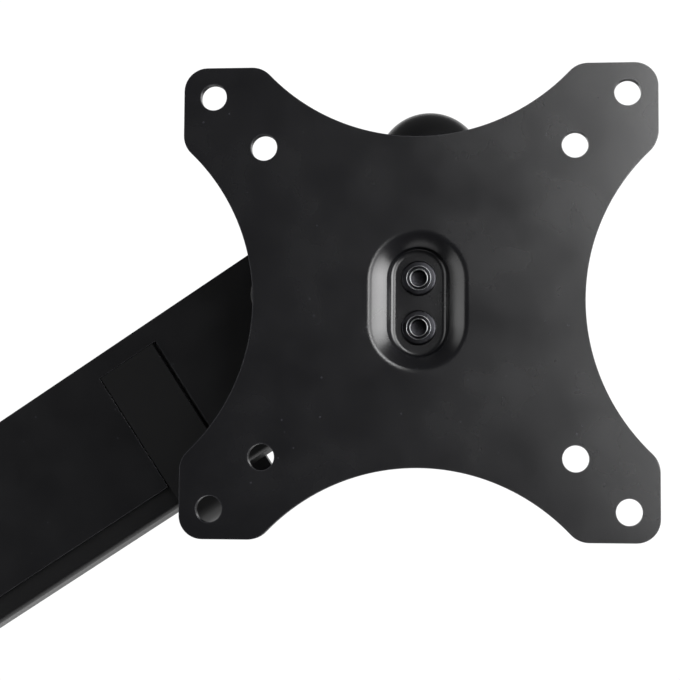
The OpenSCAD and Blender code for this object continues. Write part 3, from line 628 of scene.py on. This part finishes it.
class MONITORARM_OT_link(bpy.types.Operator):
    """Rounds the lifting link's shell, cable cover, clips, lower link, bushes and pivots"""
    bl_idname = "monitor_arm.link"
    bl_label = "Lifting link"

    def execute(self, context):
        clips = ("front_cable_clip", "rear_cable_clip")
        # the shell's long top edges lie above this height and further out than this
        top_height, top_side = 12.9, 20
        # each clip's seat: its two sides lie here in CAD and go in to here, and its far wall moves out
        seat_side, seat_deeper, seat_wider = 19.8, 18.9, 0.9
        # each clip: the gap at its near end, how much it is shortened, and how its side faces stand proud
        near_gap, shorten, side_face, proud = 0.3, 0.98, 20.9, 1.016
        walls = []
        bm = merged("upper_arm_shell", LINK)
        for node in clips:
            clip = merged(node, LINK)
            walls.append(max(v.co.x for v in clip.verts if v.co.z > 5) + 0.1)
            clip.free()
        for v in bm.verts:
            if any(abs(v.co.x - wall) < 0.05 for wall in walls):
                v.co.x += seat_wider
            if abs(abs(v.co.y) - seat_side) < 0.02:
                v.co.y *= seat_deeper / seat_side
        bevel(bm, [
            e for e in sharp_edges(bm)
            if all(v.co.z > top_height and abs(v.co.y) > top_side for v in e.verts)], 1.4, 4)
        bevel(bm, sharp_edges(bm), 0.3, 3)
        piece(
            bm, "upper_arm_shell_finished", "upper_arm", ["cast"],
            ["upper_arm_shell"], LINK)
        softened("upper_arm_cover", "nylon", 0.25, 2, LINK)
        for node in clips:
            bm = merged(node, LINK)
            near = min(v.co.x for v in bm.verts)
            for v in bm.verts:
                v.co.x = near + near_gap + (v.co.x - near) * shorten
                if abs(v.co.y) > side_face:
                    v.co.y *= proud
            bevel(bm, sharp_edges(bm), 0.5, 3)
            piece(bm, node + "_finished", body_of(node), ["nylon"], [node], LINK)
        softened("lower_link", "steel", 0.3, 2, LINK)
        softened("shell_bushes", "acetal", 0.2, 1, LINK)
        softened("pivot_caps", "nylon", 0.5, 3, LINK)
        return {"FINISHED"}


class MONITORARM_OT_spring(bpy.types.Operator):
    """Finishes the gas spring and its tension adjuster"""
    bl_idname = "monitor_arm.spring"
    bl_label = "Gas spring"

    def execute(self, context):
        soften_all((
            ("gas_spring_cylinder", "gloss", 0.6), ("gas_spring_rod", "chrome", 0.4),
            ("gas_spring_eye", "oxide", 0.4), ("gas_spring_gland", "zinc", 0.3),
            ("gas_spring_saddle", "oxide", 0.4), ("tension_bracket", "zinc", 0.3),
            ("tension_screw", "oxide", 0.3), ("tension_carriage", "zinc", 0.4)), 2, LINK)
        return {"FINISHED"}


class MONITORARM_OT_head(bpy.types.Operator):
    """Finishes the front knuckle, yoke, tilt bracket and their fasteners"""
    bl_idname = "monitor_arm.head"
    bl_label = "Head"

    def execute(self, context):
        soften_all((
            ("front_knuckle", "cast", 0.6), ("front_pivot_pins", "zinc", 0.3),
            ("swivel_bushes", "acetal", 0.2), ("head_yoke", "steel", 0.35), ("swivel_bolt", "zinc", 0.3),
            ("swivel_washers", "zinc", 0.15), ("swivel_nut", "zinc", 0.4), ("tilt_bolt", "oxide", 0.35),
            ("tilt_nut", "zinc", 0.4), ("tilt_washers", "acetal", 0.1), ("tilt_spacer", "zinc", 0.2),
            ("tilt_bracket", "steel", 0.35),
            ("rotation_spring_washer", "zinc", 0.15), ("rotation_nut", "zinc", 0.4),
            ("plate_hub", "oxide", 0.4), ("hub_washer", "acetal", 0.2)), 2, HEAD)
        return {"FINISHED"}


# ---------- elbow, lower arm and clamp ----------

class MONITORARM_OT_elbow(bpy.types.Operator):
    """Finishes the elbow's knuckle, stem, cap, washer and pins"""
    bl_idname = "monitor_arm.elbow"
    bl_label = "Elbow"

    def execute(self, context):
        soften_all((
            ("rear_knuckle", "cast", 0.6), ("elbow_stem", "zinc", 0.4), ("elbow_washer", "acetal", 0.2),
            ("elbow_cap", "nylon", 0.4), ("elbow_retainer", "zinc", 0.3),
            ("rear_pivot_pins", "zinc", 0.3)), 2)
        return {"FINISHED"}


class MONITORARM_OT_lower_arm(bpy.types.Operator):
    """Finishes the lower arm's beam, cable cover, clips, caps, bushes and set screws"""
    bl_idname = "monitor_arm.lower_arm"
    bl_label = "Lower arm"

    def execute(self, context):
        beam_top = 107.9  # the beam's top edges lie above this height
        softened("lower_arm_beam", "cast", 0.3, 3, wide=lambda a, b: min(a.z, b.z) > beam_top, wide_mm=1.4)
        soften_all((
            ("lower_arm_cover", "nylon", 0.25), ("lower_arm_clips", "nylon", 0.28),
            ("post_cap", "nylon", 0.4), ("elbow_bottom_cap", "nylon", 0.4), ("post_bushes", "acetal", 0.05),
            ("elbow_bushes", "acetal", 0.05), ("hub_set_screws", "oxide", 0.2)), 2)
        return {"FINISHED"}


class MONITORARM_OT_clamp(bpy.types.Operator):
    """Finishes the post and the desk clamp"""
    bl_idname = "monitor_arm.clamp"
    bl_label = "Post and clamp"

    def execute(self, context):
        soften_all((
            ("foot_plate", "steel", 0.9), ("foot_pad", "rubber", 0.3), ("post", "cast", 0.4),
            ("post_bolt", "zinc", 0.3), ("post_retainer", "zinc", 0.3), ("clamp_upright", "steel", 0.6),
            ("clamp_bolts", "oxide", 0.3), ("clamp_nut", "zinc", 0.4), ("clamp_plate", "steel", 0.7),
            ("clamp_liner", "rubber", 0.3)), 3)
        # the screw: its head keeps the CAD shape, and its rod is cut again with a thread
        head, neck, overlap, crest, root, pitch = 14, 0.6, 0.2, 4.9, 4.3, 2.0
        low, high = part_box("clamp_screw")
        neck_top = low.z / MM + head + neck
        bm = merged("clamp_screw", POST)
        bmesh.ops.bisect_plane(
            bm, geom=bm.verts[:] + bm.edges[:] + bm.faces[:], plane_co=(0, 0, neck_top), plane_no=(0, 0, 1),
            clear_outer=True)
        bmesh.ops.holes_fill(bm, edges=[e for e in bm.edges if e.is_boundary])
        bevel(bm, sharp_edges(bm), 0.4, 2)
        threaded(bm, crest, root, pitch, neck_top - overlap, high.z / MM - 0.2)
        piece(
            bm, "clamp_screw_finished", body_of("clamp_screw"), ["zinc"],
            ["clamp_screw"], POST)
        softened("clamp_handle", "nylon", 1.0, 4)
        return {"FINISHED"}


# ---------- the stage ----------

def softbox(scene, name, bearing, rise, distance, width, height, radiance, grid):
    """A soft light at a bearing from the plate's front towards +X, behind a grid that narrows it."""
    a, e = math.radians(bearing), math.radians(rise)
    away = Vector((math.sin(a) * math.cos(e), -math.cos(a) * math.cos(e), math.sin(e)))
    data = bpy.data.lights.new(name, "AREA")
    data.shape, data.size, data.size_y = "RECTANGLE", width, height
    half = math.radians(grid) / 2
    data.spread = 2 * half
    data.energy = radiance * math.pi * width * height * (1 - half / math.tan(half))
    lamp = bpy.data.objects.new(name, data)
    lamp.location = PLATE_CENTRE + away * distance
    lamp.visible_camera = False
    lamp.rotation_euler = (-away).to_track_quat("-Z", "Y").to_euler()
    scene.collection.objects.link(lamp)


class MONITORARM_OT_stage(bpy.types.Operator):
    """Sets the pale floor, the soft studio lights and the camera"""
    bl_idname = "monitor_arm.stage"
    bl_label = "Studio"

    def execute(self, context):
        scene = context.scene
        # the floor: a round board just under the clamp, m
        radius, across, deep, gap = 0.66, 0.12, 0.14, 0.004
        bm = bmesh.new()
        bmesh.ops.create_circle(bm, cap_ends=True, radius=radius, segments=128)
        mesh = bpy.data.meshes.new("studio_floor")
        bm.to_mesh(mesh)
        bm.free()
        mesh.transform(Matrix.Translation((across, deep, CAD_BOX[0][2] - gap)))
        mesh.materials.append(studio_board("studio_board"))
        floor = bpy.data.objects.new("studio_floor", mesh)
        scene.collection.objects.link(floor)

        # a dim room for the reflections, and a plain white one behind
        world = bpy.data.worlds.new("studio")
        scene.world = world
        world.use_nodes = True
        tree = world.node_tree
        tree.nodes.clear()
        ray = add(tree, "ShaderNodeTexCoord").outputs["Generated"]
        depth = add(tree, "ShaderNodeSeparateXYZ", {"Vector": ray}).outputs["Y"]
        glow = add(tree, "ShaderNodeMapRange", {
            "Value": depth, "From Min": -0.6, "From Max": 0.6,
            "To Min": 0.05, "To Max": 0.12}).outputs["Result"]
        seen = add(tree, "ShaderNodeLightPath").outputs["Is Camera Ray"]
        glow = add(tree, "ShaderNodeMix", {"Factor": seen, 2: glow, 3: 1.05}).outputs[0]
        back = add(tree, "ShaderNodeBackground", {"Color": (1, 1, 1, 1), "Strength": glow})
        add(tree, "ShaderNodeOutputWorld", {"Surface": back.outputs["Background"]})

        # name, bearing and rise in degrees, distance, width and height in m, radiance, grid in degrees
        for row in (
                ("key_right", 17.5, 24, 0.65, 0.13, 0.6, 15.0, 90),
                ("fill_right", 35, 14, 0.7, 0.25, 0.7, 4.0, 90),
                ("rim_right", 64, 8, 0.8, 0.5, 0.9, 13.0, 90),
                ("side_left", -62, 5, 0.9, 0.4, 0.9, 3.0, 90),
                ("edge_left", -105, 0, 0.9, 0.3, 0.9, 2.5, 90),
                ("backdrop", 180, 14, 1.4, 1.5, 0.9, 0.8, 140)):
            softbox(scene, *row)

        camera = bpy.data.cameras.new("camera")
        camera.sensor_width = 36
        camera.lens = 99.58
        from_plate = Vector((25.9, -449.7, 9.8)) * MM
        camera.clip_start, camera.clip_end = 0.01, 50
        view = bpy.data.objects.new("camera", camera)
        ahead = Vector((-0.09862, 0.99422, -0.04235)).normalized()
        right = Vector((0.99513, 0.09852, -0.00446))
        up = right.cross(ahead).normalized()
        right = ahead.cross(up)
        turn = Matrix((right, up, -ahead)).transposed().to_4x4()
        view.matrix_world = Matrix.Translation(PLATE_CENTRE + from_plate) @ turn
        scene.collection.objects.link(view)
        scene.camera = view
        scene.view_settings.view_transform = "Standard"
        return {"FINISHED"}


class MONITORARM_PT_panel(bpy.types.Panel):
    """Lists the steps that build the arm"""
    bl_label = "Monitor Arm"
    bl_idname = "MONITORARM_PT_panel"
    bl_space_type = "VIEW_3D"
    bl_region_type = "UI"
    bl_category = "Monitor Arm"

    def draw(self, context):
        for group in (context.scene.plate_sizes, context.scene.arm_colours):
            for prop in type(group).__annotations__:
                self.layout.prop(group, prop)
        for step in STEPS:
            self.layout.operator(step.bl_idname)


STEPS = (
    MONITORARM_OT_stage, MONITORARM_OT_finishes, MONITORARM_OT_plate, MONITORARM_OT_rivets,
    MONITORARM_OT_swivel_cap, MONITORARM_OT_link, MONITORARM_OT_spring, MONITORARM_OT_head,
    MONITORARM_OT_elbow, MONITORARM_OT_lower_arm, MONITORARM_OT_clamp,
)
CLASSES = (PlateSizes, FinishColours) + STEPS + (MONITORARM_PT_panel,)


def register():
    """Registers the classes and the scene's settings."""
    for cls in CLASSES:
        bpy.utils.register_class(cls)
    bpy.types.Scene.plate_sizes = PointerProperty(type=PlateSizes)
    bpy.types.Scene.arm_colours = PointerProperty(type=FinishColours)


def unregister():
    """Takes the settings and classes away again."""
    del bpy.types.Scene.plate_sizes
    del bpy.types.Scene.arm_colours
    for cls in reversed(CLASSES):
        bpy.utils.unregister_class(cls)


def main():
    """Runs every step in turn."""
    register()
    for step in STEPS:
        group, call = step.bl_idname.split(".")
        getattr(getattr(bpy.ops, group), call)()


if __name__ == "__main__":
    main()
